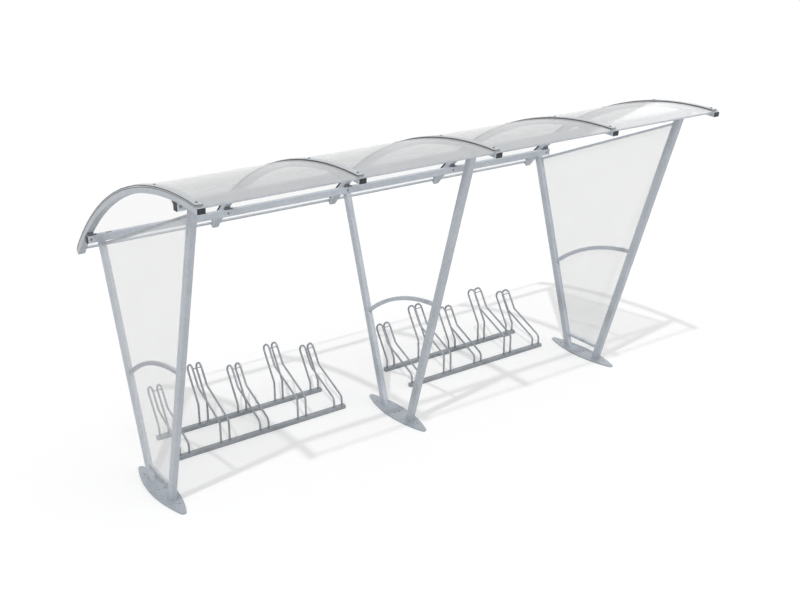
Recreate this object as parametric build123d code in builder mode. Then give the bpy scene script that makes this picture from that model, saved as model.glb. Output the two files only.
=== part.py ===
from build123d import *
from math import acos, asin, atan2, ceil, cos, degrees, hypot, radians, sin, sqrt
import os

os.makedirs("parts", exist_ok=True)

# Bicycle shelter: three V-shaped frames carry two long beams, the beams carry
# five arched ribs, and the ribs carry a clear curved roof. The end frames are
# glazed, and two wheel racks stand on the ground under the roof.
# Frame: +X along the shelter, +Y to its closed back, +Z up, millimetres.
# The origin is on the ground, midway between the feet of the middle frame.

# Overall layout
frame_pitch = 2000
rib_overhang = 76
rib_count = 5
frames = {"left": -frame_pitch, "middle": 0, "right": frame_pitch}
end_frames = {"left": -1, "right": 1}

# Running clearance where a piece lies under a curved one or inside a tube
seat_gap = 0.3

# Roof arch, drawn at the middle of the rib tube
roof_radius = 2513
crown_y = -950
crown_height = 2338
eave_front_y = -1138
eave_back_y = 912

# Rib tube
rib_width = 50
rib_height = 35
rib_wall = 2.5
rib_cap_thickness = 4

# Roof glazing, from the rib upwards
gasket_thickness = 3
gasket_width = 50
sheet_thickness = 6
sheet_joint = 12
cover_thickness = 8
cover_width = 46
sheet_front_inset = 6
cover_front_inset = 24
cover_back_inset = 30
edge_bar_width = 20
edge_bar_height = 12
edge_bar_wall = 2
edge_bar_inset = 6

# Beams under the ribs
beam_width = 40
beam_height = 50
beam_wall = 3
front_beam_y = -860
back_beam_y = 682
beam_joint = 2
sleeve_length = 240

# Posts and their base plates
post_depth = 60
post_width = 40
post_wall = 3
post_corner = 5
foot_spread = 170
plate_length = 750
plate_width = 170
plate_thickness = 10
plate_tip_radius = 22
anchor_hole = 14
anchor_y = 247
anchor_x = 22

# Arched cross bar of each frame, drawn some degrees too long before the posts cut it
cross_bar_height = 30
cross_bar_width = 20
cross_bar_back_z = 758
cross_bar_front_z = 1084
cross_bar_rise = 69
cross_bar_spare = 8

# Glazed ends, with the top rail set below the top of each post
rail_height = 20
rail_wall = 2
top_rail_back_drop = 17
top_rail_front_drop = 56
bottom_rail_z = 118
pane_thickness = 5
pane_gap = 5

# Plastic end caps of the beams, with plugs as deep as those of the rib caps
cap_thickness = 6
cap_depth = 16

# Cleats between the ribs and the beams: angles at the front, wedges at the back
cleat_width = 42
angle_thickness = 5
angle_drop = 42
angle_reach = 46
wedge_recess = 8
wedge_depth = 26

# Wheel racks
rack_rail_width = 40
rack_rail_height = 30
rack_rail_wall = 3
rack_front_y = 320
rack_back_y = 685
rack_pitch = 331
rack_overhang = 60
rack_centres = {"left": -1012, "right": 1073}
stand_heights = {1: 0, 2: 93, 3: 0, 4: 93, 5: 0}
middle_stand = 3
wire_diameter = 16
wire_sides = 6
wire_chord = 40
wire_spacing = 72
link_diameter = 8
link_sides = 6
back_bend_z = 100
leg_reach_y = 850
leg_reach_z = 358
leg_spacing = 102
inner_bend_y = 662
front_bend_z = 105
wire_bend = 45
top_bend = 40

# Values worked out from the sizes above
rib_pitch = 2 * (frame_pitch + rib_overhang) / (rib_count - 1)
rib_xs = [-frame_pitch - rib_overhang + rib_pitch * i for i in range(rib_count)]
arch_centre = (crown_y, crown_height - roof_radius)
rib_inner = roof_radius - rib_height / 2
rib_outer = roof_radius + rib_height / 2
gasket_inner = rib_outer + seat_gap
sheet_inner = gasket_inner + gasket_thickness + seat_gap
sheet_outer = sheet_inner + sheet_thickness
cover_inner = sheet_outer + seat_gap
outer_x = frame_pitch + rib_overhang + rib_width / 2


def arch_angle(y):
    """Angle at the arch centre, in degrees from +Y, of the rib's middle line at y."""
    return degrees(acos((y - crown_y) / roof_radius))


def along_arch(length):
    """Angle that a length along the roof arch takes up."""
    return degrees(length / roof_radius)


def rib_underside(y):
    """Height of the lower face of the ribs at y."""
    return arch_centre[1] + sqrt(rib_inner**2 - (y - crown_y) ** 2)


def band(centre, inner, outer, low_angle, high_angle):
    """Closed band between two radii about a centre."""
    with BuildSketch() as face:
        with BuildLine():
            upper = CenterArc(centre, outer, low_angle, high_angle - low_angle)
            lower = CenterArc(centre, inner, low_angle, high_angle - low_angle)
            Line(upper @ 0, lower @ 0)
            Line(upper @ 1, lower @ 1)
        make_face()
    return face.sketch


def arch_band(inner, outer, low_angle, high_angle):
    """Closed band between two radii of the roof arch."""
    return band(arch_centre, inner, outer, low_angle, high_angle)


def outline(*points):
    """Closed face with straight sides."""
    with BuildSketch() as face:
        with BuildLine():
            Polyline(*points, close=True)
        make_face()
    return face.sketch


back_angle = arch_angle(eave_back_y)
front_angle = arch_angle(eave_front_y)
front_beam_top = rib_underside(front_beam_y + beam_width / 2) - seat_gap
back_beam_top = rib_underside(back_beam_y + beam_width / 2) - seat_gap
post_tops = {
    "front": (front_beam_y, front_beam_top - beam_height),
    "back": (back_beam_y, back_beam_top - beam_height),
}
post_feet = {"front": -foot_spread, "back": foot_spread}


def post_lean(side):
    """Sideways travel of a post for each millimetre of height."""
    top_y, top_z = post_tops[side]
    return (top_y - post_feet[side]) / (top_z - plate_thickness)


def post_y(side, z):
    """Place of a post's middle line at height z."""
    return post_feet[side] + post_lean(side) * (z - plate_thickness)


def post_half(side, size):
    """Half of a size across a post, measured level instead of square to it."""
    return size / 2 * hypot(1, post_lean(side))


def inner_face(side, z, gap=0):
    """Place of the face of a post that looks at the other post, at height z."""
    inward = 1 if side == "front" else -1
    return post_y(side, z) + inward * (post_half(side, post_depth) + gap)


def slanted_bar(half_depth, side, low_z, high_z):
    """Side view of a post between two heights."""
    low_y = post_y(side, low_z)
    high_y = post_y(side, high_z)
    return outline(
        (low_y - half_depth, low_z),
        (low_y + half_depth, low_z),
        (high_y + half_depth, high_z),
        (high_y - half_depth, high_z),
    )


# Base plates: pointed ovals with rounded tips and four anchor holes
bow = plate_width / 2
tip_reach = plate_length / 2 - plate_tip_radius
side_radius = (bow**2 - plate_tip_radius**2 + tip_reach**2) / (2 * (bow - plate_tip_radius))
half_chord = sqrt(bow * (2 * side_radius - bow))
anchors = [(-anchor_x, anchor_y), (-anchor_x, 0), (anchor_x, 0), (anchor_x, -anchor_y)]
with BuildSketch() as plate_outline:
    with BuildLine():
        ThreePointArc((0, -half_chord), (bow, 0), (0, half_chord))
        ThreePointArc((0, half_chord), (-bow, 0), (0, -half_chord))
    make_face()
    fillet(plate_outline.vertices(), plate_tip_radius)
with BuildPart() as base_plates:
    for x in frames.values():
        with BuildSketch(Plane.XY):
            with Locations((x, 0)):
                add(plate_outline.sketch)
                with Locations(anchors):
                    Circle(anchor_hole / 2, mode=Mode.SUBTRACT)
    extrude(amount=plate_thickness)
base_plates.part.label = "base_plates"
export_step(base_plates.part, "parts/base_plates.step")

# Posts: rectangular tubes that lean apart, cut level at both ends, closed at the top
for side, (top_y, top_z) in post_tops.items():
    for name, x in frames.items():
        with BuildPart() as post:
            with BuildSketch(Plane.YZ.offset(x)):
                add(slanted_bar(post_half(side, post_depth), side, plate_thickness, top_z))
            extrude(amount=post_width / 2, both=True)
            lean_axis = Axis((0, 0, 0), (0, post_lean(side), 1))
            fillet(post.edges().filter_by(lean_axis), post_corner)
            with BuildSketch(Plane.YZ.offset(x)):
                bore = post_half(side, post_depth - 2 * post_wall)
                add(slanted_bar(bore, side, plate_thickness, top_z - post_wall))
            extrude(amount=post_width / 2 - post_wall, both=True, mode=Mode.SUBTRACT)
        post.part.label = f"{side}_post_{name}"
        export_step(post.part, f"parts/{side}_post_{name}.step")

# Cross bars: arched bars cut to the slant of the posts they are welded to
bar_ends = [
    Vector(inner_face("back", cross_bar_back_z), cross_bar_back_z),
    Vector(inner_face("front", cross_bar_front_z), cross_bar_front_z),
]
chord = (bar_ends[1] - bar_ends[0]).length
bar_radius = (chord**2 / 4 + cross_bar_rise**2) / (2 * cross_bar_rise)
chord_angle = atan2(bar_ends[1].Y - bar_ends[0].Y, bar_ends[1].X - bar_ends[0].X)
half_turn = degrees(asin(chord / 2 / bar_radius))
middle_angle = degrees(chord_angle) - 90
to_middle = Vector(cos(radians(middle_angle)), sin(radians(middle_angle)))
bar_centre = (bar_ends[0] + bar_ends[1]) / 2 - to_middle * (bar_radius - cross_bar_rise)
bar_inner = bar_radius - cross_bar_height / 2
bar_outer = bar_inner + cross_bar_height
bar_turn = half_turn + cross_bar_spare
bar_angles = (middle_angle - bar_turn, middle_angle + bar_turn)
between_posts = outline(
    (inner_face("back", 0), 0),
    (inner_face("back", crown_height), crown_height),
    (inner_face("front", crown_height), crown_height),
    (inner_face("front", 0), 0),
)
for name, x in frames.items():
    with BuildPart() as cross_bar:
        with BuildSketch(Plane.YZ.offset(x)):
            add(band((bar_centre.X, bar_centre.Y), bar_inner, bar_outer, *bar_angles))
            add(between_posts, mode=Mode.INTERSECT)
        extrude(amount=cross_bar_width / 2, both=True)
    cross_bar.part.label = f"cross_bar_{name}"
    export_step(cross_bar.part, f"parts/cross_bar_{name}.step")

# Beams: each is two tubes that meet over the middle frame
for side, (beam_y, beam_bottom) in post_tops.items():
    middle = beam_bottom + beam_height / 2
    half_tube = outer_x - beam_joint / 2
    with BuildPart() as beam:
        for turn in (-1, 1):
            start = turn * (beam_joint / 2 + half_tube / 2)
            with BuildSketch(Plane.YZ.offset(start)):
                with Locations((beam_y, middle)):
                    Rectangle(beam_width, beam_height)
                    bore_height = beam_height - 2 * beam_wall
                    Rectangle(beam_width - 2 * beam_wall, bore_height, mode=Mode.SUBTRACT)
            extrude(amount=half_tube / 2, both=True)
    beam.part.label = f"{side}_beam"
    export_step(beam.part, f"parts/{side}_beam.step")

# Sleeves inside the beams, across their joints over the middle frame
with BuildPart() as beam_sleeves:
    for beam_y, beam_bottom in post_tops.values():
        clear = beam_wall + seat_gap
        with BuildSketch(Plane.YZ):
            with Locations((beam_y, beam_bottom + beam_height / 2)):
                Rectangle(beam_width - 2 * clear, beam_height - 2 * clear)
        extrude(amount=sleeve_length / 2, both=True)
beam_sleeves.part.label = "beam_joint_sleeves"
export_step(beam_sleeves.part, "parts/beam_joint_sleeves.step")

# Caps in the ends of the beams
with BuildPart() as beam_caps:
    for beam_y, beam_bottom in post_tops.values():
        middle = beam_bottom + beam_height / 2
        for turn in (-1, 1):
            end = turn * outer_x
            with BuildSketch(Plane.YZ.offset(end)):
                with Locations((beam_y, middle)):
                    Rectangle(beam_width, beam_height)
            extrude(amount=turn * cap_thickness)
            with BuildSketch(Plane.YZ.offset(end)):
                with Locations((beam_y, middle)):
                    plug = beam_wall + seat_gap
                    Rectangle(beam_width - 2 * plug, beam_height - 2 * plug)
            extrude(amount=-turn * cap_depth)
beam_caps.part.label = "beam_end_caps"
export_step(beam_caps.part, "parts/beam_end_caps.step")

# Ribs: arched bars over the beams, with a capped bore at each end
bore_turn = along_arch(cap_depth + seat_gap)
end_bores = [(back_angle, back_angle + bore_turn), (front_angle - bore_turn, front_angle)]
for number, x in enumerate(rib_xs, start=1):
    with BuildPart() as rib:
        with BuildSketch(Plane.YZ.offset(x)):
            add(arch_band(rib_inner, rib_outer, back_angle, front_angle))
        extrude(amount=rib_width / 2, both=True)
        with BuildSketch(Plane.YZ.offset(x)):
            for bore in end_bores:
                add(arch_band(rib_inner + rib_wall, rib_outer - rib_wall, *bore))
        extrude(amount=rib_width / 2 - rib_wall, both=True, mode=Mode.SUBTRACT)
    rib.part.label = f"rib_{number}"
    export_step(rib.part, f"parts/rib_{number}.step")

# Caps in both ends of the ribs
with BuildPart() as rib_caps:
    plug = rib_wall + seat_gap
    for end_angle, turn in ((front_angle, 1), (back_angle, -1)):
        outward = Vector(cos(radians(end_angle)), sin(radians(end_angle)))
        end_y = arch_centre[0] + roof_radius * outward.X
        end_z = arch_centre[1] + roof_radius * outward.Y
        along = (0, -turn * outward.Y, turn * outward.X)
        for x in rib_xs:
            with BuildSketch(Plane((x, end_y, end_z), x_dir=(1, 0, 0), z_dir=along)):
                Rectangle(rib_width, rib_height)
            extrude(amount=rib_cap_thickness)
            with BuildSketch(Plane((x, end_y, end_z), x_dir=(1, 0, 0), z_dir=along)):
                Rectangle(rib_width - 2 * plug, rib_height - 2 * plug)
            extrude(amount=-cap_depth)
rib_caps.part.label = "rib_end_caps"
export_step(rib_caps.part, "parts/rib_end_caps.step")

# Roof sheets: one curved clear sheet for each bay, with its edges on the ribs
sheet_front = front_angle - along_arch(sheet_front_inset)
sheet_edges = [-outer_x]
for x in rib_xs[1:-1]:
    sheet_edges += [x - sheet_joint / 2, x + sheet_joint / 2]
sheet_edges.append(outer_x)
for number in range(1, rib_count):
    low_x, high_x = sheet_edges[2 * number - 2], sheet_edges[2 * number - 1]
    with BuildPart() as roof_sheet:
        with BuildSketch(Plane.YZ.offset(low_x)):
            add(arch_band(sheet_inner, sheet_outer, back_angle, sheet_front))
        extrude(amount=high_x - low_x)
    roof_sheet.part.label = f"roof_sheet_{number}"
    export_step(roof_sheet.part, f"parts/roof_sheet_{number}.step")

# Rubber gaskets between the ribs and the sheets, and the cover strips that clamp them
cover_front = front_angle - along_arch(cover_front_inset)
cover_back = back_angle + along_arch(cover_back_inset)
layers = {
    "roof_gaskets": (gasket_inner, gasket_thickness, gasket_width, back_angle),
    "cover_strips": (cover_inner, cover_thickness, cover_width, cover_back),
}
for name, (inner, thickness, width, low_angle) in layers.items():
    with BuildPart() as strips:
        for x in rib_xs:
            with BuildSketch(Plane.YZ.offset(x)):
                add(arch_band(inner, inner + thickness, low_angle, cover_front))
            extrude(amount=width / 2, both=True)
    strips.part.label = name
    export_step(strips.part, f"parts/{name}.step")

# Edge bars: flat tubes under the back and the front edge of the sheets, from rib to rib
edge_outer = sheet_inner - seat_gap
edge_inner = edge_outer - edge_bar_height
inset_turn = along_arch(edge_bar_inset)
width_turn = along_arch(edge_bar_width)
wall_turn = along_arch(edge_bar_wall)
edge_lows = {"back": back_angle + inset_turn, "front": sheet_front - inset_turn - width_turn}
for side, edge_low in edge_lows.items():
    with BuildPart() as edge_bars:
        for number in range(1, rib_count):
            low_x = rib_xs[number - 1] + rib_width / 2
            high_x = rib_xs[number] - rib_width / 2
            bore = (edge_inner + edge_bar_wall, edge_outer - edge_bar_wall)
            bore_turns = (edge_low + wall_turn, edge_low + width_turn - wall_turn)
            with BuildSketch(Plane.YZ.offset(low_x)):
                add(arch_band(edge_inner, edge_outer, edge_low, edge_low + width_turn))
                add(arch_band(*bore, *bore_turns), mode=Mode.SUBTRACT)
            extrude(amount=high_x - low_x)
    edge_bars.part.label = f"{side}_edge_bars"
    export_step(edge_bars.part, f"parts/{side}_edge_bars.step")


def cleat_top(y):
    """Height of the top of a cleat, just under the rib."""
    return rib_underside(y) - seat_gap


def angle_cleat():
    """Angle from the back of the front beam to the underside of a rib."""
    low_z = front_beam_top - angle_drop
    face_y = front_beam_y + beam_width / 2
    outer_y = face_y + angle_thickness
    reach_y = face_y + angle_reach
    return outline(
        (face_y, low_z),
        (face_y, cleat_top(face_y)),
        (reach_y, cleat_top(reach_y)),
        (reach_y, cleat_top(reach_y) - angle_thickness),
        (outer_y, cleat_top(outer_y) - angle_thickness),
        (outer_y, low_z),
    )


def wedge_cleat():
    """Wedge on top of the back beam, set back from its front face."""
    front_y = back_beam_y - beam_width / 2 + wedge_recess
    back_y = front_y + wedge_depth
    return outline(
        (front_y, back_beam_top),
        (front_y, cleat_top(front_y)),
        (back_y, cleat_top(back_y)),
        (back_y, back_beam_top),
    )


# Cleats that hold the ribs on the beams
for side, profile in (("front", angle_cleat()), ("back", wedge_cleat())):
    with BuildPart() as cleats:
        for x in rib_xs:
            with BuildSketch(Plane.YZ.offset(x)):
                add(profile)
            extrude(amount=cleat_width / 2, both=True)
    cleats.part.label = f"{side}_rib_cleats"
    export_step(cleats.part, f"parts/{side}_rib_cleats.step")


def rail_profile(back_z, front_z, height):
    """Side view of a rail between the posts, cut to their slant."""
    return outline(
        (inner_face("back", back_z - height / 2), back_z - height / 2),
        (inner_face("back", back_z + height / 2), back_z + height / 2),
        (inner_face("front", front_z + height / 2), front_z + height / 2),
        (inner_face("front", front_z - height / 2), front_z - height / 2),
    )


# Rails of the glazed ends, one at the top and one at the bottom
top_rail_back_z = post_tops["back"][1] - top_rail_back_drop
top_rail_front_z = post_tops["front"][1] - top_rail_front_drop
rail_ends = [(top_rail_back_z, top_rail_front_z), (bottom_rail_z, bottom_rail_z)]
for name in end_frames:
    with BuildPart() as side_rails:
        for back_z, front_z in rail_ends:
            with BuildSketch(Plane.YZ.offset(frames[name])):
                add(rail_profile(back_z, front_z, rail_height))
            extrude(amount=cross_bar_width / 2, both=True)
            with BuildSketch(Plane.YZ.offset(frames[name])):
                add(rail_profile(back_z, front_z, rail_height - 2 * rail_wall))
            bore_half = cross_bar_width / 2 - rail_wall
            extrude(amount=bore_half, both=True, mode=Mode.SUBTRACT)
    side_rails.part.label = f"side_rails_{name}"
    export_step(side_rails.part, f"parts/side_rails_{name}.step")

# Panes of the glazed ends, on the outer face of the rails and the cross bar
low_z = bottom_rail_z - rail_height / 2
pane_back_z = top_rail_back_z + rail_height / 2
pane_front_z = top_rail_front_z + rail_height / 2
for name, turn in end_frames.items():
    with BuildPart() as side_pane:
        with BuildSketch(Plane.YZ.offset(frames[name] + turn * cross_bar_width / 2)):
            add(outline(
                (inner_face("back", low_z, pane_gap), low_z),
                (inner_face("back", pane_back_z, pane_gap), pane_back_z),
                (inner_face("front", pane_front_z, pane_gap), pane_front_z),
                (inner_face("front", low_z, pane_gap), low_z),
            ))
        extrude(amount=turn * pane_thickness)
    side_pane.part.label = f"side_pane_{name}"
    export_step(side_pane.part, f"parts/side_pane_{name}.step")

# Rails of the wheel racks, lying on the ground
stand_count = len(stand_heights)
rack_half = (stand_count - 1) * rack_pitch / 2 + rack_overhang
for name, centre_x in rack_centres.items():
    with BuildPart() as rack_rails:
        with BuildSketch(Plane.YZ.offset(centre_x)):
            with Locations(
                (rack_front_y, rack_rail_height / 2),
                (rack_back_y, rack_rail_height / 2),
            ):
                bore_height = rack_rail_height - 2 * rack_rail_wall
                Rectangle(rack_rail_width, rack_rail_height)
                Rectangle(rack_rail_width - 2 * rack_rail_wall, bore_height, mode=Mode.SUBTRACT)
        extrude(amount=rack_half, both=True)
    rack_rails.part.label = f"rack_{name}_rails"
    export_step(rack_rails.part, f"parts/rack_{name}_rails.step")

# Wheel holders: two bent wire loops each, joined by thin cross wires
leg_angle = atan2(leg_reach_z - back_bend_z, leg_reach_y - rack_back_y)
along_leg = Vector(cos(leg_angle), sin(leg_angle))
across_leg = Vector(-sin(leg_angle), cos(leg_angle))


def loop_points(lift):
    """Corners of a wire loop from the back rail over the top to the front rail."""
    back_top = Vector(leg_reach_y, leg_reach_z + lift)
    front_top = back_top + across_leg * leg_spacing
    run = (front_top.X - inner_bend_y) / cos(leg_angle)
    inner_bend = front_top - along_leg * run
    return [
        (rack_back_y, rack_rail_height),
        (rack_back_y, back_bend_z + lift),
        (back_top.X, back_top.Y),
        (front_top.X, front_top.Y),
        (inner_bend.X, inner_bend.Y),
        (rack_front_y, front_bend_z + lift),
        (rack_front_y, rack_rail_height),
    ]


def chords_along(corners):
    """Points of the bent wire, with each bend cut into short straight lengths."""
    bends = [wire_bend, top_bend, top_bend, wire_bend, wire_bend]
    with BuildLine() as smooth:
        FilletPolyline(*corners, radius=bends)
    points = [corners[0]]
    for stretch in smooth.edges().sort_by(smooth.wire()):
        straight = stretch.geom_type == GeomType.LINE
        count = 1 if straight else ceil(stretch.length / wire_chord)
        places = [stretch @ (step / count) for step in range(count + 1)]
        if (places[0] - Vector(*points[-1])).length > (places[-1] - Vector(*points[-1])).length:
            places.reverse()
        points += [(place.X, place.Y) for place in places[1:]]
    return points


for name, centre_x in rack_centres.items():
    for number, lift in stand_heights.items():
        stand_x = centre_x + rack_pitch * (number - middle_stand)
        corners = loop_points(lift)
        front_top, front_bend = corners[3], corners[5]
        link_places = [Vector(*front_top) - along_leg * top_bend]
        if lift > 0:
            link_places.append(Vector(*front_bend))
        with BuildPart() as wheel_holder:
            for turn in (-1, 1):
                loop_plane = Plane.YZ.offset(stand_x + turn * wire_spacing / 2)
                with BuildLine(loop_plane) as path:
                    Polyline(*chords_along(corners))
                with BuildSketch(Plane(path.line @ 0, z_dir=path.line % 0)):
                    RegularPolygon(wire_diameter / 2, wire_sides)
                sweep(path=path.line, transition=Transition.RIGHT)
            for place in link_places:
                with BuildSketch(Plane.YZ.offset(stand_x)):
                    with Locations((place.X, place.Y)):
                        RegularPolygon(link_diameter / 2, link_sides)
                extrude(amount=wire_spacing / 2, both=True)
        wheel_holder.part.label = f"rack_{name}_holder_{number}"
        export_step(wheel_holder.part, f"parts/rack_{name}_holder_{number}.step")
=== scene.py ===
# %% [markdown]
# # Bicycle shelter
# A shelter of steel, clear plastic sheet and rubber. Its main pieces come ready
# in a fixed frame of named nodes. This lesson gives them their finishes and adds
# what the frame leaves plain: covers, bolts, screws, plugs, weld beads and round
# bent wire.

import math
import random

import bmesh
import bpy
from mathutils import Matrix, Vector
from mathutils.geometry import convex_hull_2d


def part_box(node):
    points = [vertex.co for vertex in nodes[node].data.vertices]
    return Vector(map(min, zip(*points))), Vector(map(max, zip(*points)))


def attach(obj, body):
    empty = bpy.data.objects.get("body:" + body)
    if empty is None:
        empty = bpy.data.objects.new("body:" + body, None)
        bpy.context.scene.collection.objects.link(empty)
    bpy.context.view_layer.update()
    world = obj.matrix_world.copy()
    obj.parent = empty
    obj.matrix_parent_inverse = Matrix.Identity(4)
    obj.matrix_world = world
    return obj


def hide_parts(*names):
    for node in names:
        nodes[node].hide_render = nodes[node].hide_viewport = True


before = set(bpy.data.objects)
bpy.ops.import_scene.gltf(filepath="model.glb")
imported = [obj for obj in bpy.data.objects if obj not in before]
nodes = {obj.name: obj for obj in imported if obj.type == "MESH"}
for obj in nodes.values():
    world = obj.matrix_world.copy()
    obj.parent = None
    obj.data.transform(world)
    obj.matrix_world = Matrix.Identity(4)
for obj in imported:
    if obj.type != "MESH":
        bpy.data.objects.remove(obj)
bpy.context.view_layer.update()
scene = bpy.context.scene

# %% [markdown]
# ## Camera
# The photograph was taken from the front left, a little above the roof. The
# camera could be aimed with a Track To constraint, but its place and its two
# turns are known, so they are written down: plain numbers stay the same when
# something else in the scene changes.

# %% Place the camera
turn_right = math.radians(35.11)
look_down = math.radians(21.91)
camera_data = bpy.data.cameras.new("viewpoint")
camera_data.lens = 50
camera_data.sensor_width = 36
camera = bpy.data.objects.new("viewpoint", camera_data)
camera.location = (-4.488, -6.424, 4.116)
camera.rotation_euler = (math.pi / 2 - look_down, 0, -turn_right)
scene.collection.objects.link(camera)
scene.camera = camera
print("camera at", tuple(camera.location))

# %% [markdown]
# ## Writing shader maths as sums
# A procedural finish is a net of nodes. They could be linked by hand one at a
# time, which soon hides what is being worked out. Here one small class wraps an
# output socket, and an ordinary sum written with it adds the Math nodes. Every
# other node comes from one method that takes its type, settings and inputs.

# %% Sums on sockets
class Signal:
    """One output socket that can stand in a sum."""

    def __init__(self, net, socket):
        self.net = net
        self.socket = socket

    def maths(self, operation, *terms, clamp=False):
        settings = {"operation": operation, "use_clamp": clamp}
        return self.net.node("Math", settings, dict(enumerate(terms)))

    def __add__(self, other):
        return self.maths("ADD", self, other)

    def __radd__(self, other):
        return self.maths("ADD", other, self)

    def __sub__(self, other):
        return self.maths("SUBTRACT", self, other)

    def __rsub__(self, other):
        return self.maths("SUBTRACT", other, self)

    def __mul__(self, other):
        return self.maths("MULTIPLY", self, other)

    def __rmul__(self, other):
        return self.maths("MULTIPLY", other, self)

    def __truediv__(self, other):
        return self.maths("DIVIDE", self, other)

    def __gt__(self, other):
        return self.maths("GREATER_THAN", self, other)

    def __lt__(self, other):
        return self.maths("LESS_THAN", self, other)

    def clamped(self):
        return self.maths("ADD", self, 0.0, clamp=True)


# %% Any other node
class Net:
    """The nodes of one material or of the world."""

    def __init__(self, tree):
        self.tree = tree

    def pick(self, sockets, key):
        """A socket by its number, its identifier or its name."""
        if isinstance(key, int):
            return sockets[key]
        for socket in sockets:
            if socket.identifier == key:
                return socket
        return sockets[key]

    def feed(self, node, key, value):
        """Gives an input a link or a fixed value."""
        socket = self.pick(node.inputs, key)
        if isinstance(value, Signal):
            self.tree.links.new(value.socket, socket)
        else:
            socket.default_value = value

    def node(self, kind, settings=None, inputs=None, output=0):
        """Adds a node: its settings and stops first, then its inputs."""
        made = self.tree.nodes.new("ShaderNode" + kind)
        for name, value in (settings or {}).items():
            if name == "stops":
                self.set_stops(made.color_ramp, value)
            else:
                setattr(made, name, value)
        for key, value in (inputs or {}).items():
            self.feed(made, key, value)
        return Signal(self, self.pick(made.outputs, output))

    def set_stops(self, ramp, stops):
        while len(ramp.elements) < len(stops):
            ramp.elements.new(1.0)
        for element, (position, tone) in zip(ramp.elements, stops):
            element.position = position
            element.color = (tone, tone, tone, 1)

    def blend(self, mask, low, high):
        """A colour between two colours, by a mask from 0 to 1."""
        inputs = {"Factor_Float": mask, "A_Color": low, "B_Color": high}
        return self.node("Mix", {"data_type": "RGBA"}, inputs, "Result_Color")


# %% One finish with its own shader
class Finish(Net):
    """A material whose Principled shader takes fixed values and signals."""

    def __init__(self, name, **fixed):
        self.material = bpy.data.materials.new(name)
        self.material.use_nodes = True
        super().__init__(self.material.node_tree)
        self.shader = self.tree.nodes["Principled BSDF"]
        for key, value in fixed.items():
            self.feed(self.shader, key.replace("_", " "), value)

    def drive(self, **signals):
        for key, value in signals.items():
            self.feed(self.shader, key.replace("_", " "), value)

    def place(self, stretch=(1, 1, 1)):
        """Place on the object, in metres, stretched along the axes."""
        here = self.node("TexCoord", output="Object")
        return self.node("Mapping", None, {"Vector": here, "Scale": stretch})

    def place_height(self):
        """Height above the ground, in metres."""
        return self.node("SeparateXYZ", None, {"Vector": self.place()}, "Z")

    def noise(self, scale, detail=2.0, stretch=(1, 1, 1), roughness=0.5):
        inputs = {
            "Vector": self.place(stretch),
            "Scale": scale,
            "Detail": detail,
            "Roughness": roughness,
        }
        return self.node("TexNoise", None, inputs, "Fac")

    def ramp(self, signal, *stops):
        return self.node("ValToRGB", {"stops": stops}, {"Fac": signal})

    def bump(self, height, depth, strength=1.0):
        inputs = {"Height": height, "Distance": depth, "Strength": strength}
        return self.node("Bump", None, inputs)


def shade(red, green, blue):
    """A colour given as it looks on a screen, from 0 to 255, made linear."""
    tones = []
    for value in (red, green, blue):
        value /= 255
        tones.append(value / 12.92 if value < 0.04045 else ((value + 0.055) / 1.055) ** 2.4)
    return (*tones, 1)


print("mid grey is", [round(value, 3) for value in shade(128, 128, 128)])

# %% [markdown]
# ## Zinc-coated and painted steel
# The frames, beams and ribs are welded tube, dipped in zinc and then coated in a
# pale blue-grey. Close up the coat is slightly mottled, with zinc grains under
# it and the fine orange-peel of sprayed powder. A picture of steel could be
# wrapped round the tubes, but noise in object space needs no unwrapping and
# keeps one scale on every tube.

# %% Steel finishes
def coated_steel(name, dark, pale, grain=1.0, gloss=0.42, metal=0.1):
    """Mottled coated steel between two tones."""
    steel = Finish(name, Metallic=metal)
    cloud = steel.noise(5, 3)
    mottle = steel.noise(38, 4, roughness=0.6)
    grains = steel.node("TexVoronoi", None, {"Vector": steel.place(), "Scale": 110}, "Color")
    grain_tone = steel.node("SeparateColor", None, {"Color": grains}, "Red")
    tone = 0.4 * cloud + 0.4 * mottle + 0.2 * grain_tone
    spread = (tone - 0.5) * (1.9 * grain) + 0.5
    # Darker and rougher in mottled patches towards the ground, below about 8 cm.
    height = steel.place_height()
    foot = steel.ramp(height * 12, (0.0, 1.0), (1.0, 0.0))
    low_darkening = (foot * steel.noise(60, 5)) * 0.45
    surface = steel.blend(spread.clamped(), dark, pale)
    darkened_low = steel.blend(low_darkening.clamped(), surface, shade(112, 112, 110))
    peel = steel.noise(420, 2)
    steel.drive(Base_Color=darkened_low, Roughness=gloss + 0.16 * (mottle - 0.5) + 0.2 * low_darkening)
    steel.drive(Normal=steel.bump(peel + 0.6 * mottle, 0.00025, 0.35))
    return steel.material


frame_steel = coated_steel("coated_frame_steel", shade(180, 187, 195), shade(210, 216, 223))
rack_steel = coated_steel("zinc_rack_steel", shade(136, 142, 148), shade(174, 179, 184), 1.3, 0.4, 0.45)
plate_steel = coated_steel("coated_plate_steel", shade(166, 174, 183), shade(196, 203, 211))
print("steels:", frame_steel.name, rack_steel.name, plate_steel.name)

# %% [markdown]
# ## Bright zinc on cleats and bolts
# Small fittings are plated and not painted. Plating shows sharper grains and a
# harder gleam than paint, so the same pattern gets smaller grains, more metal
# and less roughness.

# %% Zinc and aluminium
def bright_zinc(name, dark, pale, gloss):
    zinc = Finish(name, Metallic=0.75)
    mottle = zinc.noise(90, 4, roughness=0.65)
    cells = zinc.node("TexVoronoi", None, {"Vector": zinc.place(), "Scale": 260}, "Distance")
    tone = (0.7 * mottle + 0.5 * cells).clamped()
    zinc.drive(Base_Color=zinc.blend(tone, dark, pale))
    zinc.drive(Roughness=gloss + 0.2 * (mottle - 0.5))
    zinc.drive(Normal=zinc.bump(mottle, 0.0002, 0.3))
    return zinc.material


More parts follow.
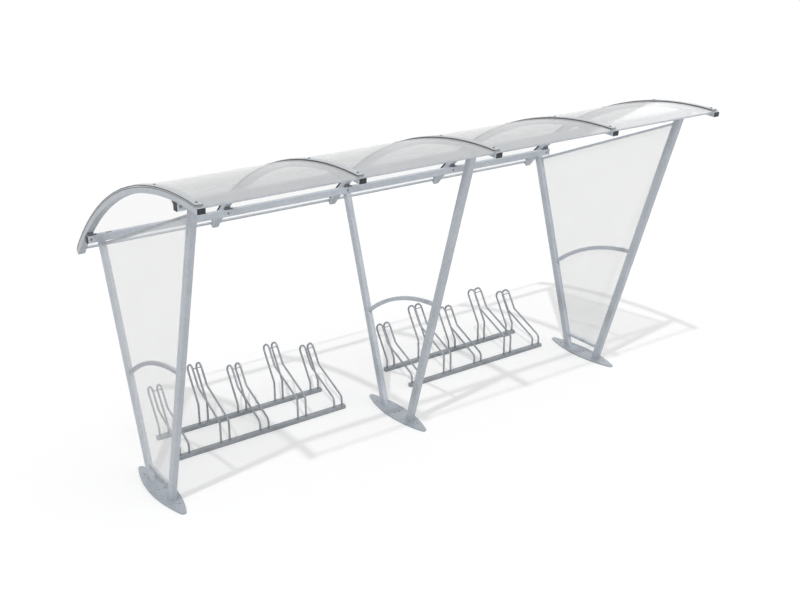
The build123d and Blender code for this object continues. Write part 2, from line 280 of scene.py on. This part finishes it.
def drawn_aluminium(name):
    """Drawn aluminium: fine streaks run along the strip, round the arch."""
    metal = Finish(name, Metallic=0.6)
    across = metal.noise(9, 3, stretch=(90, 1, 1))
    cloud = metal.noise(7, 3)
    tone = (0.6 * across + 0.4 * cloud - 0.5) * 1.6 + 0.5
    metal.drive(Base_Color=metal.blend(tone.clamped(), shade(176, 180, 184), shade(208, 212, 216)))
    metal.drive(Roughness=0.34 + 0.2 * (across - 0.5))
    metal.drive(Normal=metal.bump(across, 0.0003, 0.25))
    return metal.material


cleat_zinc = bright_zinc("plated_cleats", shade(150, 157, 165), shade(186, 192, 199), 0.42)
bolt_zinc = bright_zinc("plated_bolts", shade(110, 114, 120), shade(156, 160, 166), 0.33)
cover_metal = drawn_aluminium("drawn_aluminium")
print("bright metals:", cleat_zinc.name, bolt_zinc.name, cover_metal.name)

# %% [markdown]
# ## Clear sheet
# The roof and the end panes are clear plastic, a little hazy. Real glass shaders
# bend each ray twice and need many bounces. A thin flat sheet hardly bends what
# is seen through it, so a partly transparent surface gives the same look for
# less: haze in the surface, more of it at a shallow angle, and dense cut edges.
# The direction of a facet tells the upper side and the cut edges from the rest.

# %% What the clear finishes share
def clear_sheet(name):
    """Clear plastic, with its tilt from the eye, its fine haze and its facets."""
    sheet = Finish(name, Roughness=0.12, IOR=1.45)
    tilt = sheet.node("LayerWeight", None, {"Blend": 0.5}, "Facing")
    specks = sheet.noise(300, 4, roughness=0.7)
    drifts = sheet.noise(3, 4)
    patches = 0.86 + 0.2 * drifts + 0.08 * specks
    facets = sheet.node("NewGeometry", output="True Normal")
    sheet.drive(Normal=sheet.bump(sheet.noise(2.2, 2), 0.004, 0.15))
    return sheet, tilt, patches, facets


def along(sheet, vector, axis):
    """Part of a vector along X, Y or Z."""
    return sheet.node("SeparateXYZ", None, {"Vector": vector}, axis)


def chosen(sheet, mask, low, high):
    """One of two numbers, by a mask of 0 or 1."""
    inputs = {"Factor_Float": mask, "A_Float": low, "B_Float": high}
    return sheet.node("Mix", None, inputs, "Result_Float")


# %% Roof sheet and end pane
def roof_clear():
    """Dust and sky-shine veil the upper side at a shallow angle, not the underside."""
    sheet, tilt, patches, facets = clear_sheet("clear_roof_sheet")
    veil_starts, veil_range = 0.18, 0.5
    least_veil, added_veil, veil_from_below = 0.05, 0.5, 0.06
    rise = ((tilt - veil_starts) / veil_range).clamped()
    veil = (least_veil + added_veil * rise * rise) * patches
    upper = along(sheet, facets, "Z") > 0.0
    haze = chosen(sheet, upper, veil_from_below, veil)
    side = along(sheet, facets, "X")
    cut_edge = side.maths("ABSOLUTE", side) > 0.7
    body = sheet.blend(patches, shade(164, 166, 167), shade(186, 188, 189))
    sheet.drive(Base_Color=sheet.blend(cut_edge, body, shade(226, 229, 230)))
    sheet.drive(Alpha=chosen(sheet, cut_edge, haze, 0.8))
    return sheet.material


def pane_clear():
    """The panes' wide faces look along the shelter, so all other facets are edges."""
    sheet, tilt, patches, facets = clear_sheet("clear_end_pane")
    haze = (0.2 + 0.14 * tilt * tilt) * patches
    side = along(sheet, facets, "X")
    cut_edge = side.maths("ABSOLUTE", side) < 0.7
    body = sheet.blend(patches, shade(214, 216, 217), shade(236, 237, 238))
    sheet.drive(Base_Color=sheet.blend(cut_edge, body, shade(206, 214, 216)))
    sheet.drive(Alpha=chosen(sheet, cut_edge, haze, 0.85))
    return sheet.material


roof_sheet_finish = roof_clear()
pane_finish = pane_clear()
print("clear finishes:", roof_sheet_finish.name, pane_finish.name)

# %% [markdown]
# ## Rubber and moulded plastic
# The gaskets are black rubber, dull and slightly chalky from the weather. The
# end caps are charcoal plastic with the fine even grain that a spark-worn mould
# leaves. Both are nearly one colour, so the grain and the gloss do the work.

# %% Dark finishes
def weathered_rubber():
    rubber = Finish("weathered_rubber", IOR=1.5)
    chalk = rubber.noise(70, 5, roughness=0.7)
    bloom = rubber.ramp(chalk, (0.35, 0.0), (0.8, 1.0))
    rubber.drive(Base_Color=rubber.blend(bloom, shade(44, 45, 47), shade(82, 83, 84)))
    rubber.drive(Roughness=0.62 + 0.25 * chalk)
    rubber.drive(Normal=rubber.bump(chalk, 0.0003, 0.4))
    return rubber.material


def moulded_plastic(name, dark, pale):
    plastic = Finish(name, IOR=1.5)
    grain = plastic.noise(900, 2)
    scuff = plastic.ramp(plastic.noise(45, 5), (0.45, 0.0), (0.85, 1.0))
    plastic.drive(Base_Color=plastic.blend(scuff, dark, pale))
    plastic.drive(Roughness=0.45 + 0.2 * grain)
    plastic.drive(Normal=plastic.bump(grain, 0.0002, 0.5))
    return plastic.material


gasket_rubber = weathered_rubber()
cap_plastic = moulded_plastic("moulded_charcoal_plastic", shade(40, 42, 46), shade(70, 73, 78))
# The back cleats get a mid grey that stands for the shade in the wedge under each rib: painted shade.
shade_grey_pad_finish = moulded_plastic("shade_grey_moulded_plastic", shade(98, 102, 107), shade(124, 128, 133))
print("dark finishes:", gasket_rubber.name, cap_plastic.name, shade_grey_pad_finish.name)

# %% [markdown]
# ## Finishes on the frame's own nodes
# A node that already has the right shape stays, and only gets its finish. Tube
# has softened corners that catch a line of light. Weld joins the split edges of
# the loaded meshes, Decimate joins flat triangles into whole faces, Bevel rounds
# the corners, and Weighted Normal keeps the wide faces flat.

# %% Dress the nodes
node_finishes = {
    "back_beam": frame_steel,
    "front_beam": frame_steel,
    "beam_joint_sleeves": bolt_zinc,
    "beam_end_caps": cap_plastic,
    "back_edge_bars": frame_steel,
    "front_edge_bars": frame_steel,
    # painted shade: the grey of the back cleats stands for the shaded wedge under each rib
    "back_rib_cleats": shade_grey_pad_finish,
    "front_rib_cleats": cleat_zinc,
    "base_plates": plate_steel,
    "cover_strips": cover_metal,
    "roof_gaskets": gasket_rubber,
    "rib_end_caps": cap_plastic,
}
family_finishes = {
    "back_post_": frame_steel,
    "front_post_": frame_steel,
    "cross_bar_": frame_steel,
    "side_rails_": frame_steel,
    "side_pane_": pane_finish,
    "roof_sheet_": roof_sheet_finish,
    "rack_": rack_steel,
    "rib_": frame_steel,
}
corner_rounds = {
    "_beam": 0.0030,
    "_post_": 0.0008,
    "cross_bar_": 0.0022,
    "side_rails_": 0.0018,
    "rib_": 0.0028,
    "base_plates": 0.0012,
    "_rails": 0.0026,
    "_caps": 0.0012,
    "_cleats": 0.0008,
    "edge_bars": 0.0018,
}


def finish_of(name):
    if name in node_finishes:
        return node_finishes[name]
    for start, finish in family_finishes.items():
        if name.startswith(start):
            return finish


def round_corners(piece, width):
    """Modifiers that soften the edges of a welded steel piece."""
    weld = piece.modifiers.new("join split edges", "WELD")
    weld.merge_threshold = 0.00002
    flatten = piece.modifiers.new("whole faces", "DECIMATE")
    flatten.decimate_type = "DISSOLVE"
    flatten.angle_limit = math.radians(0.5)
    bevel = piece.modifiers.new("soft corners", "BEVEL")
    bevel.width = width
    bevel.segments = 2
    bevel.limit_method = "ANGLE"
    bevel.angle_limit = math.radians(40)
    normals = piece.modifiers.new("flat faces stay flat", "WEIGHTED_NORMAL")
    normals.weight = 100


for name, piece in nodes.items():
    piece.data.materials.clear()
    piece.data.materials.append(finish_of(name))
    for part, width in corner_rounds.items():
        if part in name:
            round_corners(piece, width)
            break
print("dressed", len(nodes), "nodes")

# %% [markdown]
# ## Sizes shared by the added pieces
# The added pieces have to sit on the frame, so they repeat its driving sizes:
# the roof arch is one circle seen from the side, and every layer of the roof is
# a radius about its centre. Angles are measured from +Y, the back.

# %% Roof arch
arch_y = -0.950
roof_radius = 2.513
arch_z = 2.338 - roof_radius
eave_front_y = -1.138
eave_back_y = 0.912
back_angle = math.acos((eave_back_y - arch_y) / roof_radius)
front_angle = math.acos((eave_front_y - arch_y) / roof_radius)
rib_half_depth = 0.0175
gasket_thickness = 0.003
sheet_thickness = 0.006
seat_gap = 0.0003
layers = (rib_half_depth, seat_gap, gasket_thickness, seat_gap, sheet_thickness, seat_gap)
cover_inner = sum(layers, roof_radius)
front_end_inset = 0.024
back_end_inset = 0.030
cover_front = front_angle - front_end_inset / roof_radius
cover_back = back_angle + back_end_inset / roof_radius
rib_xs = [sum(corner.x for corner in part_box(f"rib_{n}")) / 2 for n in range(1, 6)]


def on_arch(x, angle, radius):
    """Point on a layer of the roof."""
    return Vector((x, arch_y + radius * math.cos(angle), arch_z + radius * math.sin(angle)))


def outward(angle):
    """Direction straight out of the roof."""
    return Vector((0, math.cos(angle), math.sin(angle)))


print("ribs at", [round(x, 3) for x in rib_xs], "cover radius", round(cover_inner, 4))

# %% Turn a bmesh into a piece of the shelter
def new_piece(name, mesh, finish, replaced=(), crease=38):
    """Links a mesh as a piece, smooth apart from edges sharper than crease."""
    bmesh.ops.recalc_face_normals(mesh, faces=mesh.faces)
    data = bpy.data.meshes.new(name)
    mesh.to_mesh(data)
    mesh.free()
    data.polygons.foreach_set("use_smooth", [True] * len(data.polygons))
    data.set_sharp_from_angle(angle=math.radians(crease))
    data.materials.append(finish)
    piece = bpy.data.objects.new(name, data)
    scene.collection.objects.link(piece)
    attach(piece, "root")
    if replaced:
        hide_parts(*replaced)
    print(name, len(data.polygons), "faces")
    return piece


# %% Skin between rings of points
def skin(mesh, rings, closed=False, capped=True):
    """Joins rings of points into a tube, with flat ends or closed on itself."""
    made = [[mesh.verts.new(point) for point in ring] for ring in rings]
    last = len(made) if closed else len(made) - 1
    count = len(made[0])
    for i in range(last):
        here, there = made[i], made[(i + 1) % len(made)]
        for k in range(count):
            n = (k + 1) % count
            mesh.faces.new((here[k], here[n], there[n], there[k]))
    if capped and not closed:
        mesh.faces.new(made[0][::-1])
        mesh.faces.new(made[-1])


# %% [markdown]
# ## Cover strips
# Over each rib an aluminium strip clamps the sheets. The real one is pressed
# through a die, so one section runs round the whole arch: a low dome with a
# rolled shoulder, and a rubber lip under each edge. Sweeping one section along
# the arch gives the same thing, and keeps the highlight in one long line.

# %% Sweep the covers and their lips
half_section = [
    (0.0050, 0.0080), (0.0100, 0.0075), (0.0150, 0.0066), (0.0176, 0.0058),
    (0.0186, 0.0055), (0.0204, 0.0059), (0.0220, 0.0056), (0.0229, 0.0050),
    (0.0229, 0.0038), (0.0150, 0.0038), (0.0140, 0.0012),
]
mirrored_half = [(-u, v) for u, v in reversed(half_section)]
cover_section = mirrored_half + [(0.0, 0.0082)] + half_section
lip_section = [
    (0.0148, 0.0), (0.0238, 0.0), (0.0245, 0.0010), (0.0242, 0.0030), (0.0234, 0.0038),
    (0.0148, 0.0038),
]
arch_steps = 120


def swept_on_arch(mesh, x, section, base, low, high, side=1):
    rings = []
    for i in range(arch_steps + 1):
        angle = low + (high - low) * i / arch_steps
        rings.append([on_arch(x + side * u, angle, base + v) for u, v in section])
    skin(mesh, rings)


for number, x in enumerate(rib_xs, start=1):
    cover = bmesh.new()
    swept_on_arch(cover, x, cover_section, cover_inner, cover_back, cover_front)
    new_piece(f"cover_{number}", cover, cover_metal, ["cover_strips"])
lips = bmesh.new()
for x in rib_xs:
    for side in (-1, 1):
        swept_on_arch(lips, x, lip_section, cover_inner, cover_back, cover_front, side)
new_piece("cover_lips", lips, gasket_rubber, ["cover_strips"])

# %% [markdown]
# ## Bolts
# Button heads show on the covers and on the front faces of the beams, hexagon
# heads behind the front beam and on top of the back one. A bolt head could be a
# plain cylinder, but its chamfer, its socket and the washer under it are what
# make it read as a bolt. All are turned shapes, so one helper takes a list of
# radii and heights and turns it round any axis.

# %% Turned shapes
def turned(mesh, stations, origin, axis, sides=16):
    """Turns stations of (radius, height) round an axis through origin."""
    axis = Vector(axis).normalized()
    across = axis.orthogonal().normalized()
    other = axis.cross(across)
    rings = []
    for radius, height in stations:
        ring = []
        for k in range(sides):
            angle = 2 * math.pi * k / sides
            spoke = across * math.cos(angle) + other * math.sin(angle)
            ring.append(Vector(origin) + axis * height + spoke * radius)
        rings.append(ring)
    skin(mesh, rings)


washer = [(0.0095, 0.0), (0.0098, 0.0004), (0.0098, 0.0012), (0.0094, 0.0016)]
button_head = [
    (0.0070, 0.0016), (0.0072, 0.0024), (0.0068, 0.0038), (0.0056, 0.0050),
    (0.0040, 0.0056), (0.0030, 0.0057), (0.0027, 0.0056), (0.0026, 0.0032),
]
hexagon_head = [(0.0092, 0.0016), (0.0094, 0.0020), (0.0094, 0.0072), (0.0082, 0.0080)]
thread_end = [(0.0044, 0.0080), (0.0044, 0.0118), (0.0036, 0.0126)]


def button_bolt(mesh, origin, axis, scale=1.0):
    for stations in (washer, button_head):
        scaled = [(radius * scale, height * scale) for radius, height in stations]
        turned(mesh, scaled, origin, axis, 20)


def hexagon_bolt(mesh, origin, axis, with_thread=True):
    turned(mesh, washer, origin, axis, 20)
    turned(mesh, hexagon_head, origin, axis, 6)
    if with_thread:
        turned(mesh, thread_end, origin, axis, 12)


# %% Bolts along the covers
cover_bolts = bmesh.new()
first_bolt = math.radians(93.0)
bolt_turn = math.radians(12.6)
last_bolt_inset = 0.018
seat_on_cover = 0.0076
bolt_angles = [first_bolt - i * bolt_turn for i in range(4)]
bolt_angles.append(cover_back + last_bolt_inset / roof_radius)
for x in rib_xs:
    for angle in bolt_angles:
        button_bolt(cover_bolts, on_arch(x, angle, cover_inner + seat_on_cover), outward(angle))
new_piece("cover_bolts", cover_bolts, bolt_zinc)

# %% Bolts through the cleats
cleat_bolts = bmesh.new()
angle_thickness = 0.005
below_beam_top = 0.024
off_rib_middle = 0.003
beside_wedge = 0.036
beside_left_post = (0.046, 0.067)
low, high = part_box("front_beam")
for x in rib_xs:
    hexagon_bolt(cleat_bolts, (x, high.y + angle_thickness, high.z - below_beam_top), (0, 1, 0))
    button_bolt(cleat_bolts, (x - off_rib_middle, low.y, high.z - below_beam_top), (0, -1, 0))
low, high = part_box("back_beam")
beam_middle_y = (low.y + high.y) / 2
for x in rib_xs:
    button_bolt(cleat_bolts, (x - off_rib_middle, low.y, high.z - below_beam_top), (0, -1, 0))
    # The beam ends just past the last rib, so that bolt stands on the inner side.
    aside = beside_wedge if x + beside_wedge < high.x else -beside_wedge
    hexagon_bolt(cleat_bolts, (x + aside, beam_middle_y, high.z), (0, 0, 1), False)
post_low, post_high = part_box("back_post_left")
for away in beside_left_post:
    spot = ((post_low.x + post_high.x) / 2 + away, beam_middle_y, high.z)
    button_bolt(cleat_bolts, spot, (0, 0, 1))
new_piece("cleat_bolts", cleat_bolts, bolt_zinc)

# %% [markdown]
# ## Screws through the end panes
# A clear pane is held to its rails by a row of small screws with wide heads.
# Copies of one head along a line would do. The rails slope, so each row is
# spaced evenly between the pane's own corners, which keeps it on its rail.

# %% Screws through the end panes
pane_screws = bmesh.new()
screws_on_a_rail = 5
screw_scale = 0.62
edge_distance = 0.010
top_corners_above, foot_corners_below = 1.2, 0.2
for name, turn in (("left", -1), ("right", 1)):
    pane_low, pane_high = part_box(f"side_pane_{name}")
    face_x = pane_low.x if turn < 0 else pane_high.x
    shape = [corner.co for corner in nodes[f"side_pane_{name}"].data.vertices]
    top = sorted((c for c in shape if c.z > top_corners_above), key=lambda c: c.y)
    foot = sorted((c for c in shape if c.z < foot_corners_below), key=lambda c: c.y)
    for ends, lift in ((top, -edge_distance), (foot, edge_distance)):
        for i in range(screws_on_a_rail):
            spot = ends[0].lerp(ends[-1], (i + 0.5) / screws_on_a_rail)
            button_bolt(pane_screws, (face_x, spot.y, spot.z + lift), (turn, 0, 0), screw_scale)
new_piece("pane_screws", pane_screws, cleat_zinc)

# %% [markdown]
# ## Bent wire wheel holders
# Each holder is two loops of round bar, bent cold over a former: every bend has
# one radius and the bar stays round. A curve object with a bevel would do, but
# straight runs joined by true arcs follow the way it is bent, so the path is
# worked out here and a ring of points is carried along it. The thin cross wires
# are welded between the loops.

# %% Path with true bends
def bent_path(corners, bends, step=math.radians(7.5)):
    """Points of a flat path whose corners are arcs."""
    points = [Vector(corners[0])]
    for before, corner, after, bend in zip(corners, corners[1:], corners[2:], bends):
        back = (Vector(before) - Vector(corner)).normalized()
        ahead = (Vector(after) - Vector(corner)).normalized()
        opening = back.angle(ahead)
        turn = math.pi - opening
        middle = (back + ahead).normalized()
        centre = Vector(corner) + middle * (bend / math.sin(opening / 2))
        start = Vector(corner) + back * (bend / math.tan(opening / 2))
        end = Vector(corner) + ahead * (bend / math.tan(opening / 2))
        spoke = start - centre
        sense = 1 if (start - centre).cross(end - centre) > 0 else -1
        count = max(2, round(turn / step))
        for i in range(count + 1):
            angle = sense * turn * i / count
            c, s = math.cos(angle), math.sin(angle)
            points.append(centre + Vector((c * spoke.x - s * spoke.y, s * spoke.x + c * spoke.y)))
    points.append(Vector(corners[-1]))
    return points


def round_bar(mesh, path, x, radius, sides=16):
    """Carries a ring along a path of (Y, Z) points in the plane at x."""
    rings = []
    for i, point in enumerate(path):
        before = path[max(i - 1, 0)]
        after = path[min(i + 1, len(path) - 1)]
        along = (after - before).normalized()
        normal = Vector((-along.y, along.x))
        ring = []
        for k in range(sides):
            angle = 2 * math.pi * k / sides
            aside = radius * math.sin(angle)
            flat = point + normal * (radius * math.cos(angle))
            ring.append((x + aside, flat.x, flat.y))
        rings.append(ring)
    skin(mesh, rings)


# %% Corners of a loop
rail_back_y = 0.685
rail_front_y = 0.320
rail_top = 0.030
leg_top = Vector((0.850, 0.358))
leg_foot = Vector((rail_back_y, 0.100))
leg_way = (leg_top - leg_foot).normalized()
leg_aside = Vector((-leg_way.y, leg_way.x))
inner_bend_y = 0.662
loop_depth = 0.102
front_bend_z = 0.105
link_drop = 0.040
bend_radii = (0.045, 0.040, 0.040, 0.045, 0.045)
wire_radius = 0.0078
wire_spacing = 0.072
link_radius = 0.004


def loop_corners(lift):
    """Corners (Y, Z) of a loop that stands lift higher than the low ones."""
    back_top = leg_top + Vector((0, lift))
    front_top = back_top + leg_aside * loop_depth
    inner = front_top - leg_way * ((front_top.x - inner_bend_y) / leg_way.x)
    return [
        Vector((rail_back_y, rail_top)), leg_foot + Vector((0, lift)), back_top, front_top,
        inner, Vector((rail_front_y, front_bend_z + lift)), Vector((rail_front_y, rail_top)),
    ]


print("low loop:", [tuple(round(v, 3) for v in corner) for corner in loop_corners(0)])

# %% Bend the holders
stand_lifts = {1: 0, 2: 0.093, 3: 0, 4: 0.093, 5: 0}
foot_places = []


def cross_wire(mesh, x, place):
    """A thin bar from loop to loop, with a small fillet of weld at each end."""
    half = wire_spacing / 2 - wire_radius * 0.5
    stations = [(0.0066, 0), (0.0060, 0.0055), (0.0044, 0.0085), (link_radius, 0.011)]
    mirrored = [(radius, 2 * half - height) for radius, height in reversed(stations)]
    origin = (x - half, place.x, place.y)
    turned(mesh, stations + mirrored, origin, (1, 0, 0), 12)


for rack in ("left", "right"):
    for number, lift in stand_lifts.items():
        node = f"rack_{rack}_holder_{number}"
        low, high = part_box(node)
        x = (low.x + high.x) / 2
        corners = loop_corners(lift)
        path = bent_path(corners, bend_radii)
        holder = bmesh.new()
        for side in (-1, 1):
            wire_x = x + side * wire_spacing / 2
            round_bar(holder, path, wire_x, wire_radius)
            foot_places += [(wire_x, rail_back_y), (wire_x, rail_front_y)]
        cross_wire(holder, x, corners[3] - leg_way * link_drop)
        if lift:
            cross_wire(holder, x, corners[5])
        new_piece(f"wheel_holder_{rack}_{number}", holder, rack_steel, [node])

# %% [markdown]
# ## Plugs in the ends of the rack rails
# Each rail is a length of box tube. Its open ends are closed with a plate that
# is welded in and ground almost flush, so only a shallow rounded face shows. A
# few rings that shrink towards the middle give that soft edge.

# %% Close the rail ends
rail_width = 0.040
plug_steps = ((0.0026, -0.004), (0.0026, 0.0), (0.0034, 0.0010), (0.0052, 0.0016))


def end_plug(mesh, face_x, turn, low, high, sides=24):
    """A shallow rounded plate in the end of a rail; turn is the way it faces."""
    middle_y, middle_z = (low.y + high.y) / 2, (low.z + high.z) / 2
    rings = []
    for inset, stand_out in plug_steps:
        half_y, half_z = (high.y - low.y) / 2 - inset, (high.z - low.z) / 2 - inset
        ring = []
        for k in range(sides):
            angle = 2 * math.pi * (k + 0.5) / sides
            c, s = math.cos(angle), math.sin(angle)
            swell = (abs(c) ** 6 + abs(s) ** 6) ** (-1 / 6)
            y, z = middle_y + half_y * c * swell, middle_z + half_z * s * swell
            ring.append((face_x + turn * stand_out, y, z))
        rings.append(ring)
    skin(mesh, rings)


rail_plugs = bmesh.new()
for rack in ("left", "right"):
    low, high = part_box(f"rack_{rack}_rails")
    for near_y, far_y in ((low.y, low.y + rail_width), (high.y - rail_width, high.y)):
        for face_x, turn in ((low.x, -1), (high.x, 1)):
            near, far = Vector((0, near_y, low.z)), Vector((0, far_y, high.z))
            end_plug(rail_plugs, face_x, turn, near, far)
new_piece("rail_plugs", rail_plugs, rack_steel)

# %% [markdown]
# ## Weld beads
# Posts, cross bars, rails and wires are welded on. A bead is a low ridge of
# small overlapping ripples, never quite even. It is drawn as a thin tube laid
# in the corner, whose radius rises and falls along it, with a seeded random
# number so that every run gives the same bead.

# %% Lay a bead
dice = random.Random(12)
ripple_step, ripple_depth, ripple_chance = 0.7, 0.16, 0.08
bead_sides = 7


def spaced(corners, step):
    """Points at an even step along a closed outline."""
    points = []
    for here, there in zip(corners, corners[1:] + corners[:1]):
        count = max(1, round((there - here).length / step))
        points += [here.lerp(there, i / count) for i in range(count)]
    return points


def weld_bead(mesh, corners, size):
    """A closed rippled bead along an outline."""
    path = spaced(corners, size * ripple_step)
    centre = sum(path, Vector()) / len(path)
    rings = []
    for i, point in enumerate(path):
        along = (path[(i + 1) % len(path)] - path[i - 1]).normalized()
        aside = (point - centre) - along * (point - centre).dot(along)
        aside = aside.normalized()
        up = along.cross(aside)
        chance = dice.uniform(-ripple_chance, ripple_chance)
        ripple = size * (1 + ripple_depth * math.cos(math.pi * i) + chance)
        ring = []
        for k in range(bead_sides):
            angle = 2 * math.pi * k / bead_sides
            ring.append(point + (aside * math.cos(angle) + up * math.sin(angle)) * ripple)
        rings.append(ring)
    skin(mesh, rings, closed=True)


# %% [markdown]
# The outline of a joint is read from the frame itself: all the corners of a
# node that lie on one plane, with the outermost of them put in order. So a bead
# stays on its joint also when the frame's sizes change.

# %% Outlines on a plane
def outline_on(node, point, normal, reach=0.0004, near=None):
    """Outer corners of a node on a plane, in order round it."""
    normal = Vector(normal).normalized()
    across = normal.orthogonal().normalized()
    other = normal.cross(across)
    found = []
    for vertex in nodes[node].data.vertices:
        gap = (vertex.co - Vector(point)).dot(normal)
        if abs(gap) < reach and (near is None or near(vertex.co)):
            found.append(vertex.co.copy())
    flat = [(corner.dot(across), corner.dot(other)) for corner in found]
    return [found[i] for i in convex_hull_2d(flat)]


frame_names = ("left", "middle", "right")
plate_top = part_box("base_plates")[1].z
foot_bead, head_bead = 0.0028, 0.0022
post_beads = bmesh.new()
for side in ("front", "back"):
    beam_low, beam_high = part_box(f"{side}_beam")
    for name in frame_names:
        node = f"{side}_post_{name}"
        weld_bead(post_beads, outline_on(node, (0, 0, plate_top), (0, 0, 1)), foot_bead)
        low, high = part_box(node)
        corners = [(low.x, beam_low.y), (high.x, beam_low.y)]
        corners += [(high.x, beam_high.y), (low.x, beam_high.y)]
        weld_bead(post_beads, [Vector((x, y, beam_low.z)) for x, y in corners], head_bead)
new_piece("post_weld_beads", post_beads, frame_steel, crease=80)

# %% Beads of the bars between the posts
def face_of_post(side, name):
    """Point and direction of the face of a post that looks at the other post."""
    node = f"{side}_post_{name}"
    low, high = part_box(node)
    inward = 1 if side == "front" else -1
    near_end = 0.001
    corners = [vertex.co for vertex in nodes[node].data.vertices]
    at_top = max((c for c in corners if c.z > high.z - near_end), key=lambda c: inward * c.y)
    at_foot = max((c for c in corners if c.z < low.z + near_end), key=lambda c: inward * c.y)
    along = (at_top - at_foot).normalized()
    normal = Vector((0, along.z, -along.y))
    return at_foot, normal


# The foot rail, the cross bar and the top rail each lie in a band of height.
height_bands = ((0, 0.5), (0.5, 1.3), (1.3, 3))
bar_bead = 0.0018
bar_beads = bmesh.new()
for name in frame_names:
    for side in ("front", "back"):
        point, normal = face_of_post(side, name)
        joined = [f"cross_bar_{name}"]
        if name != "middle":
            joined.append(f"side_rails_{name}")
        for node in joined:
            for low_z, high_z in height_bands:
                outline = outline_on(node, point, normal, near=lambda c: low_z < c.z < high_z)
                if len(outline) > 2:
                    weld_bead(bar_beads, outline, bar_bead)
new_piece("bar_weld_beads", bar_beads, frame_steel, crease=80)

# %% Beads round the feet of the wires
wire_bead = 0.0022
bead_clearance = 0.0006
foot_beads = bmesh.new()
for x, y in foot_places:
    ring = []
    for k in range(12):
        angle = 2 * math.pi * k / 12
        spoke = Vector((math.cos(angle), math.sin(angle), 0)) * (wire_radius + bead_clearance)
        ring.append(Vector((x, y, rail_top + bead_clearance)) + spoke)
    weld_bead(foot_beads, ring, wire_bead)
new_piece("wire_foot_beads", foot_beads, rack_steel, crease=80)

# %% [markdown]
# ## Floor and light
# The floor is plain white and keeps the shelter's soft shadow. White paint under
# white light renders a little under white, so the floor adds the missing part
# as its own glow. Light Path tells rays that see the floor from rays that only
# gather light, and a Mix Shader gives the second kind a plain grey paint, so
# that the glow doesn't light the steel from below. One soft sun gives the
# shadow its direction. The sky is brighter on one side, so that the two faces
# of a tube differ, and plain white to every ray that sees it.

# %% Floor
floor_mesh = bmesh.new()
bmesh.ops.create_grid(floor_mesh, x_segments=8, y_segments=8, size=60)
floor_data = bpy.data.meshes.new("floor")
floor_mesh.to_mesh(floor_data)
floor_mesh.free()
floor = bpy.data.objects.new("floor", floor_data)
scene.collection.objects.link(floor)


def rays_that_see(net):
    """1 for the camera's rays and for rays in reflections and through glass."""
    seen = 0
    for kind in ("Is Camera Ray", "Is Glossy Ray", "Is Transmission Ray"):
        seen = seen + net.node("LightPath", output=kind)
    return seen.clamped()


def bare_net(owner, unused):
    """The net of a material or world, without its default shader."""
    owner.use_nodes = True
    owner.node_tree.nodes.remove(owner.node_tree.nodes[unused])
    return Net(owner.node_tree)


def output_of(net, kind):
    """The output node of a material or world."""
    return next(node for node in net.tree.nodes if node.type == kind)


def painted(net, tone):
    """Matt paint of one grey."""
    return net.node("BsdfDiffuse", None, {"Color": (tone, tone, tone, 1)})


white = (1, 1, 1, 1)
floor_material = bpy.data.materials.new("white_floor")
floor_net = bare_net(floor_material, "Principled BSDF")
seen_tone, glow_level, bounce_tone = 0.80, 0.24, 0.52
glow = floor_net.node("Emission", None, {"Color": white, "Strength": glow_level})
seen_paint = floor_net.node("AddShader", None, {0: painted(floor_net, seen_tone), 1: glow})
bounce_paint = painted(floor_net, bounce_tone)
choices = {0: rays_that_see(floor_net), 1: bounce_paint, 2: seen_paint}
floor_look = floor_net.node("MixShader", None, choices)
floor_net.feed(output_of(floor_net, "OUTPUT_MATERIAL"), "Surface", floor_look)
floor_data.materials.append(floor_material)
print("floor paint", seen_tone, "with glow", glow_level)

# %% Sky and sun
world = bpy.data.worlds.new("one_sided_sky")
scene.world = world
sky = bare_net(world, "Background")
sky_level, sky_lean = 0.70, 0.34
bright_side = Vector((0.5, -0.86, 0))
dim_half = sky.node("Background", None, {"Color": white, "Strength": sky_level - sky_lean})
bright_half = sky.node("Background", None, {"Color": white, "Strength": sky_level + sky_lean})
way = sky.node("TexCoord", output="Generated")
toward = sky.node("VectorMath", {"operation": "DOT_PRODUCT"}, {0: way, 1: bright_side}, "Value")
lighting = sky.node("MixShader", None, {0: 0.5 + 0.5 * toward, 1: dim_half, 2: bright_half})
backdrop = sky.node("Background", None, {"Color": white, "Strength": 1.0})
sky_look = sky.node("MixShader", None, {0: rays_that_see(sky), 1: lighting, 2: backdrop})
sky.feed(output_of(sky, "OUTPUT_WORLD"), "Surface", sky_look)

sun_data = bpy.data.lights.new("soft_sun", "SUN")
sun_data.energy = 1.05
sun_data.angle = math.radians(1.4)
sun = bpy.data.objects.new("soft_sun", sun_data)
light_way = Vector((1.17, 0.909, -2.33))
sun.rotation_euler = light_way.to_track_quat("-Z", "Y").to_euler()
scene.collection.objects.link(sun)
print("sun shines along", tuple(round(v, 2) for v in light_way))

# %% [markdown]
# ## Sheen on the far bays
# A clear roof shows its curve by what it mirrors. A brighter sky would do, but
# it would light everything. A wide lamp behind the far end, which only
# reflections see, gives the sheets there a pale gleam.

# %% Sheen from a wide screen behind the far end
screen_data = bpy.data.lights.new("sheen_screen", "AREA")
screen_data.shape = "RECTANGLE"
screen_data.size = 8
screen_data.size_y = 5
screen_data.energy = 130
screen = bpy.data.objects.new("sheen_screen", screen_data)
screen.location = (13.6, 5.6, 5.2)
screen.rotation_euler = (Vector((1.5, 0, 1)) - screen.location).to_track_quat("-Z", "Y").to_euler()
screen.visible_camera = False
screen.visible_diffuse = False
screen.visible_transmission = False
scene.collection.objects.link(screen)
scene.view_settings.view_transform = "Standard"
print("sheen screen at", tuple(round(v, 2) for v in screen.location))
